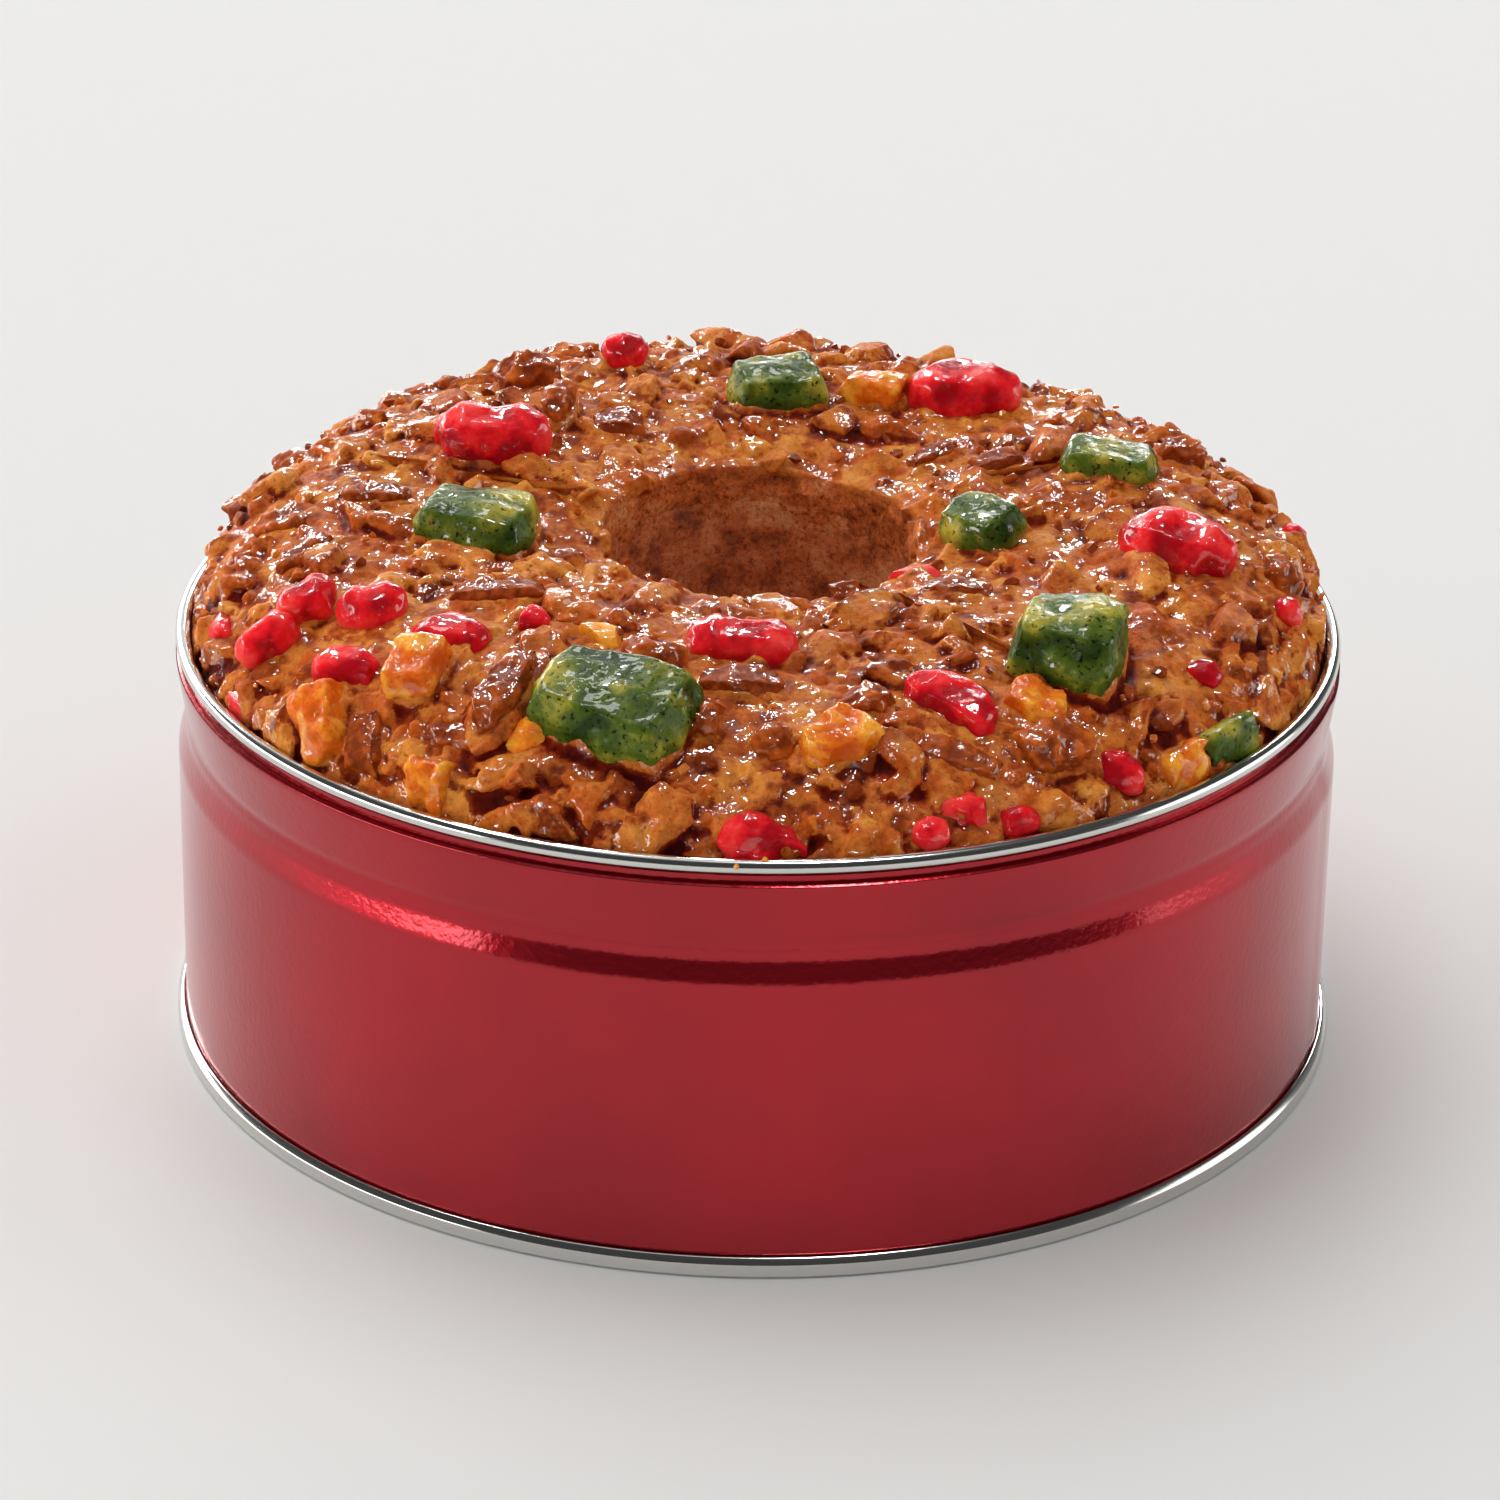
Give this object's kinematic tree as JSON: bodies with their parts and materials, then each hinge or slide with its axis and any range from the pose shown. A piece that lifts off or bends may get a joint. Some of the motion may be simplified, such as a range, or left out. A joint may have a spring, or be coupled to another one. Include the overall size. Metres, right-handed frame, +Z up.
{
  "type": "ring fruit cake in a tin",
  "caption": "Domed ring fruit cake with candied cherries, green and golden fruit and pecans, standing in its own round red tin with a rolled rim.",
  "frame": {"origin": "on the ground under the middle of the tin, at the centre of its bottom seam", "axes": "+Z up along the axis of the tin and of the cake's hole; the cake's top slopes down a little to -Y, its front"},
  "size_m": [0.193, 0.193, 0.0975],
  "materials": {
    "enamel": "red enamel on tinplate, satin, finely textured",
    "tinplate": "bare tinplate, bright",
    "cake": "baked fruit cake with chopped nuts under a clear sugar glaze",
    "cherry": "candied cherry, translucent red, glazed",
    "green_fruit": "candied green fruit, translucent, glazed",
    "golden_fruit": "candied golden fruit, translucent, glazed",
    "nut": "pecans and other nuts under a clear sugar glaze"
  },
  "bodies": {
    "root": {"tin_wall": "enamel", "tin_rim": "tinplate", "tin_base": "tinplate", "cake": "cake", "green_fruit_01": "green_fruit", "green_fruit_02": "green_fruit", "green_fruit_03": "green_fruit", "green_fruit_04": "green_fruit", "green_fruit_05": "green_fruit", "green_fruit_06": "green_fruit", "green_fruit_07": "green_fruit", "cherry_01": "cherry", "cherry_02": "cherry", "cherry_03": "cherry", "cherry_04": "cherry", "cherry_05": "cherry", "cherry_06": "cherry", "cherry_07": "cherry", "cherry_08": "cherry", "cherry_09": "cherry", "cherry_10": "cherry", "cherry_11": "cherry", "cherry_12": "cherry", "cherry_13": "cherry", "cherry_14": "cherry", "cherry_15": "cherry", "cherry_16": "cherry", "cherry_17": "cherry", "cherry_18": "cherry", "cherry_19": "cherry", "cherry_20": "cherry", "pecan_01": "nut", "pecan_02": "nut", "pecan_03": "nut", "pecan_04": "nut", "pecan_05": "nut", "pecan_06": "nut", "pecan_07": "nut", "pecan_08": "nut", "pecan_09": "nut", "pecan_10": "nut", "pecan_11": "nut", "golden_fruit_01": "golden_fruit", "golden_fruit_02": "golden_fruit", "golden_fruit_03": "golden_fruit", "golden_fruit_04": "golden_fruit", "golden_fruit_05": "golden_fruit", "golden_fruit_06": "golden_fruit", "golden_fruit_07": "golden_fruit", "nut_01": "nut", "nut_02": "nut", "nut_03": "nut", "nut_04": "nut", "nut_05": "nut", "nut_06": "nut", "nut_07": "nut", "nut_08": "nut", "nut_09": "nut", "nut_10": "nut", "nut_11": "nut"}
  },
  "joints": []
}
